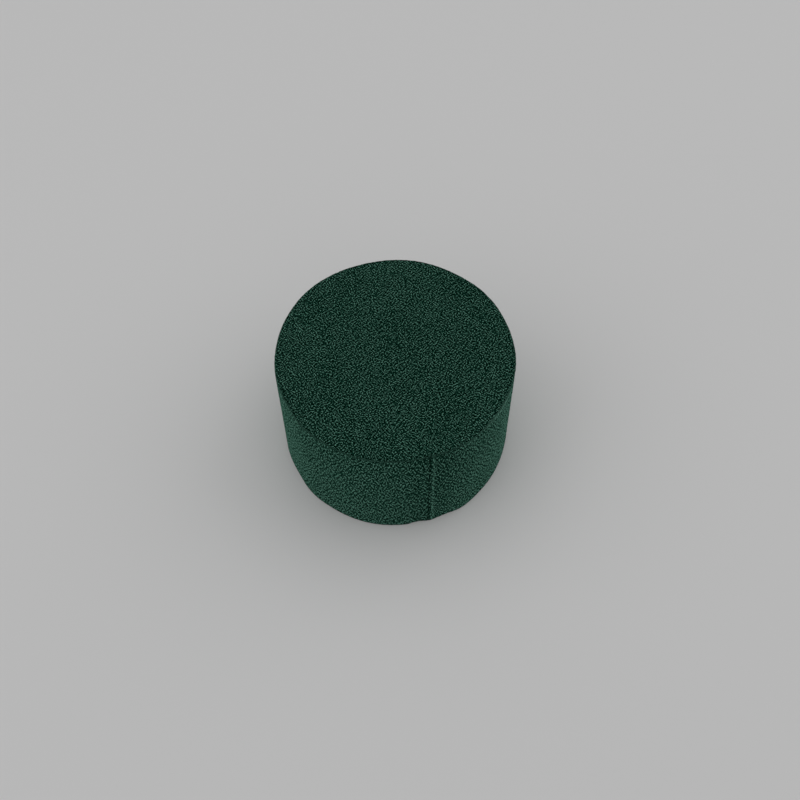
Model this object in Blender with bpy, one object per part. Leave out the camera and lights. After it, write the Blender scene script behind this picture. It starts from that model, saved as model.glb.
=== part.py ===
"""A round of floral foam: one low, solid cylinder of rigid foam that stands on its flat base.

Metres, +Z up. The origin is the centre of the base. The only mark on the wall is the upright
joint line that the rolled cutter leaves: a narrow groove with a low ridge beside it, between
two shallow hollows where the cutter's ends spring in.
"""
import math

import bmesh
import bpy

# The block
DIAMETER = 0.080
HEIGHT = 0.047
EDGE_ROUNDING = 0.0004
EDGE_SEGMENTS = 2
OUTLINE_SEGMENTS = 144

# The joint line. Angles are around +Z from +X, so -90 degrees is the front.
JOINT_ANGLE = math.radians(-73.5)
FINE_REACH = math.radians(19.0)
FINE_CUTS = 3

# Each mark: its middle, counted from the joint, half its width, and how far it stands out
LEFT_HOLLOW = (math.radians(-7.0), math.radians(8.5), -0.00055)
RIGHT_HOLLOW = (math.radians(7.0), math.radians(8.5), -0.00030)
GROOVE = (math.radians(-1.1), math.radians(1.6), -0.00050)
RIDGE = (math.radians(1.3), math.radians(1.4), 0.00040)
MARKS = (LEFT_HOLLOW, RIGHT_HOLLOW, GROOVE, RIDGE)

# The foam's finish: base colour (linear RGB) and roughness
FOAM_GREEN = (0.016, 0.044, 0.030, 1.0)
FOAM_ROUGHNESS = 0.95


def clear_scene():
    """Start from an empty scene."""
    for old in list(bpy.data.objects):
        bpy.data.objects.remove(old, do_unlink=True)


def foam_material():
    """Dark green, dry, quite matt foam."""
    material = bpy.data.materials.new("foam")
    material.use_nodes = True
    shader = material.node_tree.nodes["Principled BSDF"]
    shader.inputs["Base Color"].default_value = FOAM_GREEN
    shader.inputs["Roughness"].default_value = FOAM_ROUGHNESS
    shader.inputs["Metallic"].default_value = 0.0
    material.diffuse_color = FOAM_GREEN
    return material


def from_joint(angle):
    """The angle counted from the joint line, between minus and plus half a turn."""
    return math.remainder(angle - JOINT_ANGLE, math.tau)


def swell(offset, middle, half_width):
    """A smooth hump, 1 at its middle and 0 past half its width."""
    distance = abs(offset - middle) / half_width
    if distance >= 1.0:
        return 0.0
    return 0.5 + 0.5 * math.cos(math.pi * distance)


def wall_radius(angle):
    """How far the wall stands from the axis at this angle."""
    offset = from_joint(angle)
    radius = DIAMETER / 2
    for middle, half_width, height in MARKS:
        radius += height * swell(offset, middle, half_width)
    return radius


def cut_outline(mesh):
    """The outline of the base: a circle with finer steps at the joint line."""
    bmesh.ops.create_circle(mesh, cap_ends=True, segments=OUTLINE_SEGMENTS, radius=DIAMETER / 2)
    near_joint = []
    for edge in mesh.edges:
        middle = (edge.verts[0].co + edge.verts[1].co) / 2
        if abs(from_joint(math.atan2(middle.y, middle.x))) < FINE_REACH:
            near_joint.append(edge)
    bmesh.ops.subdivide_edges(mesh, edges=near_joint, cuts=FINE_CUTS)
    for vert in mesh.verts:
        angle = math.atan2(vert.co.y, vert.co.x)
        radius = wall_radius(angle)
        vert.co.x = radius * math.cos(angle)
        vert.co.y = radius * math.sin(angle)


def raise_block(mesh):
    """Extrude the outline to the block's height."""
    raised = bmesh.ops.extrude_face_region(mesh, geom=list(mesh.faces))
    top_verts = [item for item in raised["geom"] if isinstance(item, bmesh.types.BMVert)]
    bmesh.ops.translate(mesh, verts=top_verts, vec=(0.0, 0.0, HEIGHT))


def round_edges(mesh):
    """Ease the two rims, which are the edges that lie level."""
    rims = [edge for edge in mesh.edges if abs(edge.verts[0].co.z - edge.verts[1].co.z) < EDGE_ROUNDING]
    bmesh.ops.bevel(
        mesh,
        geom=rims,
        offset=EDGE_ROUNDING,
        segments=EDGE_SEGMENTS,
        affect="EDGES",
        profile=0.5,
        material=-1,
    )


def foam_block():
    """The whole round of foam, as one solid."""
    mesh = bmesh.new()
    cut_outline(mesh)
    raise_block(mesh)
    round_edges(mesh)
    bmesh.ops.recalc_face_normals(mesh, faces=list(mesh.faces))
    data = bpy.data.meshes.new("foam_block")
    mesh.to_mesh(data)
    mesh.free()
    data.materials.append(foam_material())
    data.shade_smooth()
    data.set_sharp_from_angle(angle=math.radians(30.0))
    block = bpy.data.objects.new("foam_block", data)
    bpy.context.collection.objects.link(block)
    return block


clear_scene()
foam_block()
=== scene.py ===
"""A round of dry floral foam: the looks of the block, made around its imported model.

The block is one piece of rigid, dark green, open-celled foam. One upright line runs down its wall,
such as the joint of a rolled cutter leaves. +Z is up. Sizes are in metres, or in millimetres where
a comment says so. Angles are around +Z from +X, so -90 degrees is the front.
"""

import math

import bmesh
import bpy
from mathutils import Matrix, Vector, noise


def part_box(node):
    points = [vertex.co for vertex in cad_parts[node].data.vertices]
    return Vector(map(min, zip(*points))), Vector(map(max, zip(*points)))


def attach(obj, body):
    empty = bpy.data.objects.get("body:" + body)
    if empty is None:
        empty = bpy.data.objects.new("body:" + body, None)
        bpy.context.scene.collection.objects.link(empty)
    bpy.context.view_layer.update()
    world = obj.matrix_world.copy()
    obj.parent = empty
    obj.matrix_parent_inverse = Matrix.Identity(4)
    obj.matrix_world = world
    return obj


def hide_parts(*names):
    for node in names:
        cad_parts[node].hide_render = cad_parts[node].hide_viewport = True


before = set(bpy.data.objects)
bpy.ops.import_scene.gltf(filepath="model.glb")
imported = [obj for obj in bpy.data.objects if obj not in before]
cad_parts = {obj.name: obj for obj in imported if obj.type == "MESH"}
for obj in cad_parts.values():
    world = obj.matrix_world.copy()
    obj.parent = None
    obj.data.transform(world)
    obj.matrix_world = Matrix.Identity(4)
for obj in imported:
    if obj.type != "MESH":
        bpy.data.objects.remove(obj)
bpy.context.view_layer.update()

# The block, from the frame
LOW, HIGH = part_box("foam_block")
RADIUS = (HIGH.x - LOW.x) / 2
HEIGHT = HIGH.z - LOW.z
MM = 0.001

# The mesh: squares across a quarter of the wall, and up it. They are closer at the rims, and
# closer still around the wall at the joint line. An edge where the faces turn by more than
# ARRIS_TURN is a rim, and a length under NOTHING counts as none.
COLUMNS = 148
ROWS = 86
RIM_CLOSENESS = 0.2
JOINT_CLOSENESS = 0.6
JOINT_REACH = math.radians(8.0)
ARRIS = 0.35 * MM
ARRIS_STEPS = 3
ARRIS_TURN = math.radians(60.0)
NOTHING = 1e-6

# The outline that the cutter leaves is not quite round. It stands a little proud all round, by
# what the open cells take off it.
OUTLINE_SPREAD = 0.15

# Each wave: its middle and half its width in degrees, and how far it stands out in millimetres.
OUTLINE_WAVES = (
    (-152.0, 14.0, -0.24),
    (-136.0, 15.0, 0.30),
    (-108.0, 26.0, 0.24),
    (-56.0, 16.0, 0.42),
    (-36.0, 12.0, 0.06),
    (-6.0, 14.0, 0.14),
    (18.0, 16.0, -0.16),
    (58.0, 18.0, -0.20),
    (80.0, 12.0, 0.14),
    (105.0, 14.0, -0.18),
    (136.0, 24.0, 0.26),
    (172.0, 16.0, -0.14),
)

# The joint line of the cutter, an upright line in the wall. Across it, in millimetres along the
# wall from the line: a wide hollow, a groove, a ridge and a second hollow.
JOINT = math.radians(-73.5)
LEFT_HOLLOW = (-4.4, 5.0)
RIGHT_HOLLOW = (6.0, 6.6)
GROOVE = (-0.70, 0.60)
RIDGE = (0.65, 0.75)
LEFT_DEPTH_TOP = 0.30
LEFT_DEPTH_BASE = 0.62
RIGHT_DEPTH_TOP = 0.12
RIGHT_DEPTH_BASE = 0.40
JOINT_LINE_REACH = 12.0
GROOVE_DEPTH = 0.22
RIDGE_HEIGHT = 0.18

# The groove and the ridge wander sideways, in millimetres, and vary in strength. Each has its
# size, how many waves it has in the height, and where it is in the noise. Both marks fade towards
# the base and the top, down to a share of themselves.
WANDER, WANDER_WAVES, WANDER_PLACE = 0.14, 11.0, (3.1, 8.7)
ROUGH, ROUGH_WAVES, ROUGH_PLACE = 0.45, 34.0, (9.4, 1.3)
FADE_FROM_BASE, FADE_FROM_TOP, FADED = 6.0, 8.0, 0.3

# How fast the joint line's section dies away in from the wall, as a power of the radius
WALL_FALL = 30

# The torn foam beside the joint line and the painted shade in the hollows around it: where, and how far, in
# millimetres
TORN_MIDDLE, TORN_REACH = -4.0, 6.5
JOINT_SHADE_REACH = 13.0

# How closely the light painted on the wall's two sides keeps to them, as a power of the cosine
SIDE_LIGHT_POWER = 6

# The darker line on the two flat faces, just inside the rims: its middle and half its width, in
# millimetres from the rim
RIM_SHADE_PLACE, RIM_SHADE_WIDTH = 0.8, 1.2

# Strips of painted highlight in the wall below the upper rim, where light catches the rim. Each one: its
# middle and half its length in degrees, how far it lies below the rim and half its width in millimetres,
# how much it climbs in millimetres for each degree, and its strength.
RIM_HIGHLIGHT_STRIPS = (
    (-28.0, 18.0, 1.1, 1.8, -0.05, 1.0),
    (-50.0, 12.0, 0.3, 1.4, 0.0, 0.15),
    (-146.0, 24.0, 0.9, 2.0, 0.0, 0.15),
)

# The cut surface, in millimetres: the size of each kind of unevenness, and its height. A cell is
# hollow out to CELL_EDGE of its size, and a pit is made at PIT_SHARE of the places for one.
CELL, CELL_EDGE, CELL_DEPTH = 1.0, 0.45, 0.05
TEAR, TEAR_OCTAVES, TEAR_HEIGHT = 0.6, 3, 0.06
SLOW, SLOW_HEIGHT = 14.0, 0.06
PIT, PIT_SHARE, PIT_WIDTH, PIT_DEPTH = 6.5, 0.20, 0.6, 0.25

# Spreads neighbouring places of a scatter apart in the cell noise that picks among them
PICK_SPREAD = 7.3

# The crumbled rims, in millimetres, and how much of the loss comes off each of the two faces
CRUMBLE_WIDTH, CRUMBLE_GRAIN, CRUMBLE_DEPTH = 0.9, 1.1, 0.14
CHIP, CHIP_SHARE, CHIP_WIDTH, CHIP_DEPTH = 7.0, 0.3, 1.2, 0.30
LOSS_SHARE = 0.7

# Camera: a normal lens in front of the block and well above it
CAMERA_DISTANCE = 10.22 * RADIUS
CAMERA_ELEVATION = math.radians(58.67)
CAMERA_ROLL = math.radians(-0.86)
LENS = 52.6
SENSOR = 36.0
SHIFT = (0.0057, -0.0099)

# The studio: its lights, the grey of its sky, and its floor
SOFTBOX_DISTANCE = 1.2
SOFTBOX_SIZE = 1.6
SKY = 0.42
FLOOR_REACH = 12.0
FLOOR_GREY, FLOOR_ROUGHNESS = 0.70, 0.9


def hump(distance, half_width):
    """A smooth hump: 1 where distance is 0, and 0 from half_width on."""
    share = min(abs(distance) / half_width, 1.0)
    return 0.5 + 0.5 * math.cos(math.pi * share)


def lerp(start, end, share):
    return start + (end - start) * share


# ---------------------------------------------------------------- the blank


def closer_at_ends(share):
    """Takes -1 to 1 onto itself, with the steps closer together at the two ends."""
    return share * (1 + RIM_CLOSENESS) - RIM_CLOSENESS * share ** 3


def from_joint(angle):
    """The angle counted from the joint line, between minus and plus half a turn."""
    return math.remainder(angle - JOINT, math.tau)


def joint_twist(angle):
    """How far to turn a point at this angle, so that columns lie closer together at the joint."""
    away = from_joint(angle)
    pull = JOINT_REACH * math.tanh(away / JOINT_REACH) * (1 - abs(away) / math.pi)
    return -JOINT_CLOSENESS * pull


def rounded(corner):
    """Takes a point of the unit cube to the round block: square rings become round ones."""
    height = (closer_at_ends(2 * corner.z) + 1) / 2 * HEIGHT
    reach = 2 * max(abs(corner.x), abs(corner.y))
    if reach < NOTHING:
        return Vector((0.0, 0.0, height))
    if abs(corner.x) >= abs(corner.y):
        angle = math.pi / 4 * corner.y / corner.x + (0.0 if corner.x > 0 else math.pi)
    else:
        angle = math.pi / 2 - math.pi / 4 * corner.x / corner.y + (0.0 if corner.y > 0 else math.pi)
    angle += joint_twist(angle) * reach
    across = closer_at_ends(reach) * RADIUS
    return Vector((across * math.cos(angle), across * math.sin(angle), height))


def level_edges(mesh, upright=False):
    """The edges that lie level, or with upright set, those that don't."""
    return [edge for edge in mesh.edges if (abs(edge.verts[0].co.z - edge.verts[1].co.z) > NOTHING) == upright]


def blank_block():
    """A closed round block of small squares, with its two rims eased."""
    mesh = bmesh.new()
    bmesh.ops.create_cube(mesh, size=1.0)
    uprights = level_edges(mesh, upright=True)
    bmesh.ops.subdivide_edges(mesh, edges=uprights, cuts=ROWS - 1, use_grid_fill=True)
    bmesh.ops.subdivide_edges(mesh, edges=level_edges(mesh), cuts=COLUMNS - 1, use_grid_fill=True)
    for vert in mesh.verts:
        vert.co = rounded(vert.co)
    bmesh.ops.recalc_face_normals(mesh, faces=list(mesh.faces))
    rims = [edge for edge in mesh.edges if edge.calc_face_angle() > ARRIS_TURN]
    bmesh.ops.bevel(
        mesh,
        geom=rims,
        offset=ARRIS,
        segments=ARRIS_STEPS,
        affect="EDGES",
        profile=0.5,
        material=-1,
    )
    mesh.normal_update()
    return mesh


# ---------------------------------------------------------------- its shape


def outline(angle):
    """How far the cut wall stands out from a true circle, in millimetres."""
    total = OUTLINE_SPREAD
    for middle, half_width, height in OUTLINE_WAVES:
        away = math.remainder(angle - math.radians(middle), math.tau)
        total += height * hump(away, math.radians(half_width))
    return total


def joint_line(angle, rise):
    """The joint line's section at this angle: how far it stands out, in millimetres, and how much
    of the groove and of the ridge this spot is. rise is 0 at the base and 1 at the top."""
    along = from_joint(angle) * RADIUS / MM
    if abs(along) > JOINT_LINE_REACH:
        return 0.0, 0.0, 0.0
    wander = WANDER * noise.noise(Vector((*WANDER_PLACE, rise * WANDER_WAVES)))
    rough = 1.0 + ROUGH * noise.noise(Vector((*ROUGH_PLACE, rise * ROUGH_WAVES)))
    groove = hump(along - GROOVE[0] - wander, GROOVE[1]) * rough
    ridge = hump(along - RIDGE[0] - wander, RIDGE[1]) * rough
    left = hump(along - LEFT_HOLLOW[0], LEFT_HOLLOW[1])
    right = hump(along - RIGHT_HOLLOW[0], RIGHT_HOLLOW[1])
    rim_share = min(FADE_FROM_BASE * rise, FADE_FROM_TOP * (1.0 - rise), 1.0)
    out = (RIDGE_HEIGHT * ridge - GROOVE_DEPTH * groove) * lerp(FADED, 1.0, rim_share)
    out -= lerp(LEFT_DEPTH_BASE, LEFT_DEPTH_TOP, rise) * left
    out -= lerp(RIGHT_DEPTH_BASE, RIGHT_DEPTH_TOP, rise) * right
    return out, groove, ridge


def rim_highlight_at(angle, below):
    """How much highlight is painted on the wall at this angle, this many millimetres below the upper rim."""
    total = 0.0
    for middle, half_length, depth, half_width, climb, strength in RIM_HIGHLIGHT_STRIPS:
        away = math.remainder(angle - math.radians(middle), math.tau)
        centre = depth - climb * math.degrees(away)
        along = math.sqrt(hump(away, math.radians(half_length)))
        total += strength * along * hump(below - centre, half_width)
    return total


def scattered(spot, spacing, share, width):
    """A hump around some of the middles of a random scatter: spot and sizes in millimetres."""
    distances, middles = noise.voronoi(spot / spacing)
    if noise.cell(middles[0] * PICK_SPREAD) * 0.5 + 0.5 > share:
        return 0.0
    return hump(distances[0] * spacing, width)


def cut_surface(spot):
    """How far the cut foam stands out at this spot, in millimetres."""
    cell = max(0.0, 1.0 - noise.voronoi(spot / CELL)[0][0] / CELL_EDGE)
    torn = noise.fractal(spot / TEAR, 1.0, 2.0, TEAR_OCTAVES)
    slow = noise.noise(spot / SLOW)
    pit = scattered(spot, PIT, PIT_SHARE, PIT_WIDTH)
    return TEAR_HEIGHT * torn + SLOW_HEIGHT * slow - CELL_DEPTH * cell - PIT_DEPTH * pit


def crumbled(spot, from_rim):
    """How much foam has crumbled off the rim here, in millimetres."""
    near = hump(from_rim, CRUMBLE_WIDTH)
    if near == 0.0:
        return 0.0
    loose = 0.5 + 0.5 * noise.noise(spot / CRUMBLE_GRAIN)
    chip = scattered(spot, CHIP, CHIP_SHARE, CHIP_WIDTH)
    return near * CRUMBLE_DEPTH * loose + CHIP_DEPTH * chip * math.sqrt(near)


def carve(mesh):
    """Moves each point of the blank to the surface of the cut foam, and marks what is there.
    Each mark is an attribute of the mesh that the finish reads."""
    dark_rim = mesh.verts.layers.float.new("dark_rim")
    deep = mesh.verts.layers.float.new("deep")
    ridge_highlight = mesh.verts.layers.float.new("ridge")
    torn = mesh.verts.layers.float.new("torn")
    sunk = mesh.verts.layers.float.new("sunk")
    side = mesh.verts.layers.float.new("wall")
    rubbed = mesh.verts.layers.float.new("rubbed")
    pale = mesh.verts.layers.float.new("pale")
    high = mesh.verts.layers.float.new("high")
    moved = []
    for vert in mesh.verts:
        place = vert.co
        angle = math.atan2(place.y, place.x)
        across = math.hypot(place.x, place.y)
        outward = Vector((math.cos(angle), math.sin(angle), 0.0))
        rise = place.z / HEIGHT
        wall = (across / RADIUS) ** WALL_FALL
        stand_out, groove, ridge = joint_line(angle, rise)
        radial = outline(angle) * across / RADIUS + stand_out * wall
        spot = place / MM
        below = min(place.z, HEIGHT - place.z) / MM
        inside = (RADIUS - across) / MM
        from_rim = math.hypot(below, inside)
        lift = cut_surface(spot)
        if vert.normal.z < -0.5:
            lift = min(lift, 0.0)
        lost = crumbled(spot, from_rim)
        inward = -outward
        inward.z = 1.0 if rise < 0.5 else -1.0
        flank = 1.0 - vert.normal.z ** 2
        vert[dark_rim] = hump(from_rim - RIM_SHADE_PLACE, RIM_SHADE_WIDTH) * (1.0 - flank)
        # Painted highlight in strips below the upper rim, where light catches it
        vert[pale] = rim_highlight_at(angle, (HEIGHT - place.z) / MM) * flank
        # Painted light: the wall's two sides, towards +X and -X, are made paler for the light that falls on
        # them
        vert[rubbed] = math.cos(angle) ** SIDE_LIGHT_POWER * flank
        along = from_joint(angle) * RADIUS / MM
        # Painted highlight along the ridge of the joint line, where light catches it
        vert[ridge_highlight] = ridge * flank
        # Painted shade down in the groove of the joint line
        vert[deep] = groove * flank
        vert[torn] = hump(along - TORN_MIDDLE, TORN_REACH) * flank
        # Painted shade in the hollows around the joint line
        vert[sunk] = hump(along, JOINT_SHADE_REACH) * flank
        vert[side] = flank
        vert[high] = rise
        shift = outward * radial + vert.normal * lift + inward * LOSS_SHARE * lost
        moved.append(place + shift * MM)
    for vert, place in zip(mesh.verts, moved):
        vert.co = place
        vert.co.z = max(vert.co.z, 0.0)


def foam_round():
    """The block itself."""
    mesh = blank_block()
    carve(mesh)
    data = bpy.data.meshes.new("foam_round")
    mesh.to_mesh(data)
    mesh.free()
    data.shade_smooth()
    data.materials.append(dry_foam())
    piece = bpy.data.objects.new("foam_round", data)
    bpy.context.collection.objects.link(piece)
    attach(piece, "root")
    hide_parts("foam_block")
    return piece


# ---------------------------------------------------------------- finishes


class Value:
    """A node's output, so that sums on it add their own Math nodes."""

    def __init__(self, finish, socket):
        self.finish = finish
        self.socket = socket

    def __add__(self, other):
        return self.finish.maths("ADD", self, other)

    def __radd__(self, other):
        return self.finish.maths("ADD", other, self)

    def __sub__(self, other):
        return self.finish.maths("SUBTRACT", self, other)

    def __rsub__(self, other):
        return self.finish.maths("SUBTRACT", other, self)

    def __mul__(self, other):
        return self.finish.maths("MULTIPLY", self, other)

    def __rmul__(self, other):
        return self.finish.maths("MULTIPLY", other, self)


class Finish:
    """A material, built up node by node."""

    def __init__(self, name):
        self.material = bpy.data.materials.new(name)
        self.material.use_nodes = True
        self.tree = self.material.node_tree
        self.shader = self.tree.nodes["Principled BSDF"]
        self.spot = None

    def node(self, kind, settings, sockets, output=0):
        """Adds a node: its settings first, then the value or link of each socket named. A ramp's
        stops are a setting too, each with its place and colour."""
        node = self.tree.nodes.new(kind)
        for name, setting in settings.items():
            if name == "stops":
                self.set_stops(node.color_ramp.elements, setting)
            else:
                setattr(node, name, setting)
        for name, value in sockets.items():
            self.feed(node.inputs[name], value)
        return Value(self, node.outputs[output])

    def set_stops(self, elements, stops):
        while len(elements) < len(stops):
            elements.new(0.5)
        for element, (place, colour) in zip(elements, stops):
            element.position = place
            element.color = colour

    def maths(self, operation, first, second):
        return self.node("ShaderNodeMath", {"operation": operation}, {0: first, 1: second})

    def feed(self, socket, value):
        if isinstance(value, Value):
            self.tree.links.new(value.socket, socket)
        else:
            socket.default_value = value

    def surface(self, **sockets):
        """Sets or links the shader's own sockets. An underscore in a name stands for a space."""
        for name, value in sockets.items():
            self.feed(self.shader.inputs[name.replace("_", " ")], value)

    def place(self):
        """Where a spot is in the foam's pattern. On the flat faces that is where it is in the block,
        and the wall is unrolled, so that the pattern is the same all round."""
        if self.spot is None:
            spot = self.node("ShaderNodeTexCoord", {}, {}, "Object")
            flat = self.node("ShaderNodeMapping", {}, {0: spot, "Scale": (1.0, 1.0, RISE)})
            across = self.node("ShaderNodeSeparateXYZ", {}, {0: spot}, "X")
            depth = self.node("ShaderNodeSeparateXYZ", {}, {0: spot}, "Y")
            height = self.node("ShaderNodeSeparateXYZ", {}, {0: spot}, "Z")
            turn = self.maths("ARCTAN2", depth, across)
            sockets = {"X": turn * (RADIUS * WALL_DRAW), "Y": height * WALL_RISE}
            unrolled = self.node("ShaderNodeCombineXYZ", {}, sockets)
            sockets = {0: self.marked("wall"), 4: flat, 5: unrolled}
            self.spot = self.node("ShaderNodeMix", {"data_type": "VECTOR"}, sockets, 1)
        return self.spot

    def marked(self, name):
        return self.node("ShaderNodeAttribute", {"attribute_name": name}, {}, "Fac")

    def clouds(self, size, detail=2.0, offset=(0.0, 0.0, 0.0)):
        """Soft noise, between about 0.3 and 0.7, with patches of this size in metres."""
        spot = self.node("ShaderNodeVectorMath", {"operation": "ADD"}, {0: self.place(), 1: offset})
        sockets = {"Vector": spot, "Scale": 1.0 / size, "Detail": detail}
        return self.node("ShaderNodeTexNoise", {"noise_dimensions": "3D"}, sockets, "Fac")

    def pores(self, size, gap, share):
        """Fine noise around 0 in which each pale spot is ringed by dark ones, and the reverse."""
        total = self.clouds(size, 0.0) - 0.5
        for axis in range(3):
            for way in (-gap, gap):
                offset = [0.0, 0.0, 0.0]
                offset[axis] = way
                total = total - (self.clouds(size, 0.0, offset) - 0.5) * share
        return total

    def specks(self, size):
        """Small cells of this size in metres, each of one random tone between 0 and 1."""
        sockets = {"Vector": self.place(), "Scale": 1.0 / size, "Randomness": 1.0}
        cells = self.node("ShaderNodeTexVoronoi", {"feature": "F1"}, sockets, "Color")
        return self.node("ShaderNodeSeparateColor", {}, {"Color": cells}, "Red")

    def spread(self, value, low, high, start=0.0, end=1.0):
        """Takes low to high onto start to end, smoothly, and holds it there."""
        settings = {"interpolation_type": "SMOOTHSTEP"}
        sockets = {"Value": value, "From Min": low, "From Max": high, "To Min": start, "To Max": end}
        return self.node("ShaderNodeMapRange", settings, sockets)

    def colour_mix(self, share, first, second):
        return self.node("ShaderNodeMix", {"data_type": "RGBA"}, {0: share, 6: first, 7: second}, 2)


# The foam's pattern, with sizes in metres. The pores are fine noise, from which its neighbours
# PORE_GAP away are taken off by PORE_SHARE each; where the foam is torn they are coarser.
PORE = 0.0003615
PORE_GAP = 0.00063
PORE_SHARE = 0.12
COARSE_PORE = 0.00065
COARSE_GAP = 1.6 * PORE_GAP
SPECK = 0.00030
SOFT_PATCH, SOFT_DETAIL = 0.016, 3.0
TORN_PATCH, TORN_EDGE = 0.0045, (0.46, 0.58)
GLINT_EDGE = (0.94, 0.98)

# How the pattern is drawn in: up the block's height, and along and up the unrolled wall. A share
# under 1 makes the pattern longer that way.
RISE = 0.6
WALL_DRAW = 0.92
WALL_RISE = 0.42

# The foam's level, which picks its tone: where it lies, and what each thing adds to it or takes
# off it. The grain is calmer by WALL_CALM on the wall and stronger at its two sides, where light is painted
# on.
FOAM_LEVEL = 0.498
PORE_GRAIN, SPECK_GRAIN, GLINT_GRAIN = 2.55, 0.08, 0.30
TORN_COARSE_GRAIN, TORN_GRAIN = 0.6, 0.7
WALL_CALM, SIDE_LIGHT_GRAIN = 0.10, 0.7
# Painted light: the wall is paler than the top faces and its two sides paler still, for the light that falls
# on them; the ridge and the rim strips are paler as painted highlights
WALL_PAINTED_LIGHT, SIDE_LIGHT_PALER, RIDGE_HIGHLIGHT_PALER, RIM_HIGHLIGHT_PALER = 0.158, 0.10, 0.19, 0.15
# Painted shade: darker in the hollows around the joint line and down in its groove
TORN_DARKER, JOINT_SHADE_DARKER, GROOVE_SHADE_DARKER, RIM_DARKER = 0.035, 0.065, 0.09, 0.03
# The second of these is painted light from the floor: the wall lighter towards its base and darker towards its
# top
SOFT_CHANGE, BOUNCE_LIGHT_CHANGE = 0.10, 0.06
WALL_LOWEST = 0.395

# Each tone of the foam: its level and its colour
FOAM_TONES = (
    (0.28, (0.00003, 0.0030, 0.0012, 1.0)),
    (0.44, (0.0001, 0.0086, 0.0048, 1.0)),
    (0.60, (0.0014, 0.0212, 0.0131, 1.0)),
    (0.78, (0.0118, 0.0615, 0.0400, 1.0)),
    (1.00, (0.1160, 0.2700, 0.2060, 1.0)),
)

# Painted highlight on the rim strips and the ridge, in specks between the shares given, and the
# painted shade down in the groove
FOAM_HIGHLIGHT = (0.1400, 0.3000, 0.2300, 1.0)
HIGHLIGHT_EDGE, HIGHLIGHT_SHARES, RIDGE_HIGHLIGHT_SHARE = (-0.12, 0.12), (0.20, 0.85), 0.06
GROOVE_SHADE_COLOUR = (0.0001, 0.0030, 0.0014, 1.0)
GROOVE_SHADE_SHARE = 0.30

# The relief of the pores, in metres, and how the foam takes the light
RELIEF, RELIEF_STRENGTH = 0.00015, 0.6
ROUGHNESSES = (0.95, 0.70)
SHEEN, SHEEN_ROUGHNESS, SHEEN_TINT = 0.04, 0.35, (0.3, 1.0, 0.65, 1.0)


def foam_level(finish, pores, shade):
    """How light the foam is at a spot, from its grain and from what the spot is marked with."""
    coarse = finish.pores(COARSE_PORE, COARSE_GAP, PORE_SHARE)
    soft = finish.clouds(SOFT_PATCH, SOFT_DETAIL)
    wall = finish.marked("wall")
    rubbed = finish.marked("rubbed")
    torn = finish.marked("torn") * finish.spread(finish.clouds(TORN_PATCH, 1.0), *TORN_EDGE)
    grain = pores * PORE_GRAIN + (shade - 0.5) * SPECK_GRAIN
    grain = grain + finish.spread(shade, *GLINT_EDGE) * GLINT_GRAIN
    grain = grain + torn * (coarse * TORN_COARSE_GRAIN + pores * TORN_GRAIN)
    # The grain is stronger under the light painted on the wall's two sides
    level = FOAM_LEVEL + grain * (1.0 - wall * WALL_CALM + rubbed * SIDE_LIGHT_GRAIN)
    # Painted light: the wall paler than the top faces, and its two sides paler still
    level = level + wall * WALL_PAINTED_LIGHT + rubbed * SIDE_LIGHT_PALER
    # Painted highlights: along the ridge of the joint line and in strips below the upper rim
    level = level + finish.marked("ridge") * RIDGE_HIGHLIGHT_PALER + finish.marked("pale") * RIM_HIGHLIGHT_PALER
    # Painted shade in the hollows around the joint line
    level = level - torn * TORN_DARKER - finish.marked("sunk") * JOINT_SHADE_DARKER
    # Painted shade down in the groove
    level = level - finish.marked("deep") * GROOVE_SHADE_DARKER - finish.marked("dark_rim") * RIM_DARKER
    # Painted light from the floor: the wall lighter towards its base, darker towards its top
    level = level + (soft - 0.5) * SOFT_CHANGE - (finish.marked("high") - 0.5) * BOUNCE_LIGHT_CHANGE * wall
    return finish.maths("MAXIMUM", level, wall * WALL_LOWEST)


def dry_foam():
    """Dark green open-celled foam: each cut cell is a dark hollow with a paler, glinting wall."""
    finish = Finish("dry_foam")
    pores = finish.pores(PORE, PORE_GAP, PORE_SHARE)
    shade = finish.specks(SPECK)
    level = foam_level(finish, pores, shade)
    colour = finish.node("ShaderNodeValToRGB", {"stops": FOAM_TONES}, {"Fac": level})
    # Painted shade: the groove's colour darkened further
    colour = finish.colour_mix(finish.marked("deep") * GROOVE_SHADE_SHARE, colour, GROOVE_SHADE_COLOUR)
    # Painted highlight in specks on the rim strips and the ridge
    specked = finish.spread(pores, *HIGHLIGHT_EDGE, *HIGHLIGHT_SHARES)
    highlighted = finish.marked("pale") * specked + finish.marked("ridge") * RIDGE_HIGHLIGHT_SHARE
    colour = finish.colour_mix(highlighted, colour, FOAM_HIGHLIGHT)
    sockets = {"Strength": RELIEF_STRENGTH, "Distance": RELIEF, "Height": level}
    finish.surface(
        Base_Color=colour,
        Roughness=finish.spread(shade, 0.0, 1.0, *ROUGHNESSES),
        Normal=finish.node("ShaderNodeBump", {}, sockets, "Normal"),
        Specular_IOR_Level=0.0,
        Sheen_Weight=SHEEN,
        Sheen_Roughness=SHEEN_ROUGHNESS,
        Sheen_Tint=SHEEN_TINT,
    )
    return finish.material


# ---------------------------------------------------------------- the studio


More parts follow.
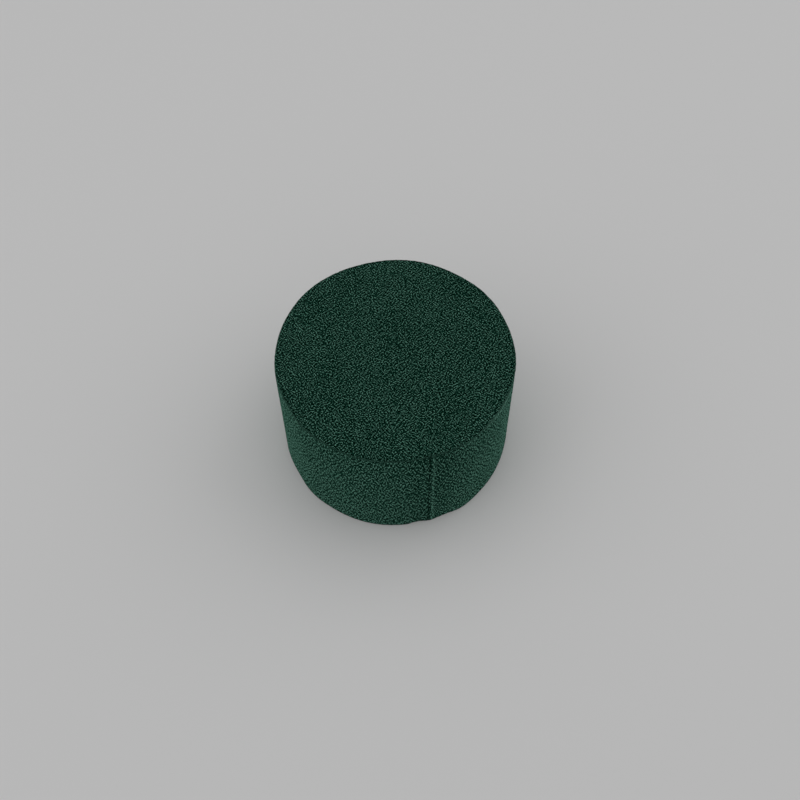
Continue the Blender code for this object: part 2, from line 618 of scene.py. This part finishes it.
def camera():
    data = bpy.data.cameras.new("camera")
    data.lens = LENS
    data.sensor_width = SENSOR
    data.shift_x, data.shift_y = SHIFT
    data.clip_start = 0.01
    holder = bpy.data.objects.new("camera", data)
    bpy.context.collection.objects.link(holder)
    back = Vector((0.0, -math.cos(CAMERA_ELEVATION), math.sin(CAMERA_ELEVATION)))
    middle = Vector((0.0, 0.0, HEIGHT / 2))
    turn = back.to_track_quat("Z", "Y").to_matrix() @ Matrix.Rotation(CAMERA_ROLL, 3, "Z")
    holder.matrix_world = Matrix.LocRotScale(middle + CAMERA_DISTANCE * back, turn, None)
    bpy.context.scene.camera = holder


def floor():
    data = bpy.data.meshes.new("floor")
    mesh = bmesh.new()
    bmesh.ops.create_grid(mesh, x_segments=1, y_segments=1, size=FLOOR_REACH)
    mesh.to_mesh(data)
    mesh.free()
    finish = Finish("studio_floor")
    finish.surface(Base_Color=(FLOOR_GREY, FLOOR_GREY, FLOOR_GREY, 1.0), Roughness=FLOOR_ROUGHNESS)
    data.materials.append(finish.material)
    plane = bpy.data.objects.new("floor", data)
    bpy.context.collection.objects.link(plane)


def softbox(name, azimuth, elevation, power):
    """A round soft light, aimed at the block from this direction, in degrees."""
    data = bpy.data.lights.new(name, "AREA")
    data.shape = "DISK"
    data.size = SOFTBOX_SIZE
    data.energy = power
    holder = bpy.data.objects.new(name, data)
    bpy.context.collection.objects.link(holder)
    turn, tilt = math.radians(azimuth), math.radians(elevation)
    back = Vector((math.cos(turn) * math.cos(tilt), math.sin(turn) * math.cos(tilt), math.sin(tilt)))
    middle = Vector((0.0, 0.0, HEIGHT / 2))
    holder.matrix_world = Matrix.LocRotScale(
        middle + SOFTBOX_DISTANCE * back, back.to_track_quat("Z", "Y"), None
    )
    holder.visible_camera = False


def studio():
    floor()
    camera()
    softbox("overhead", azimuth=100.0, elevation=80.0, power=2.8)
    softbox("left", azimuth=-166.0, elevation=30.0, power=2.7)
    softbox("right", azimuth=16.0, elevation=30.0, power=2.7)
    world = bpy.data.worlds.new("studio")
    world.use_nodes = True
    world.node_tree.nodes["Background"].inputs["Color"].default_value = (SKY, SKY, SKY, 1.0)
    bpy.context.scene.world = world
    bpy.context.scene.view_settings.view_transform = "Standard"


foam_round()
studio()
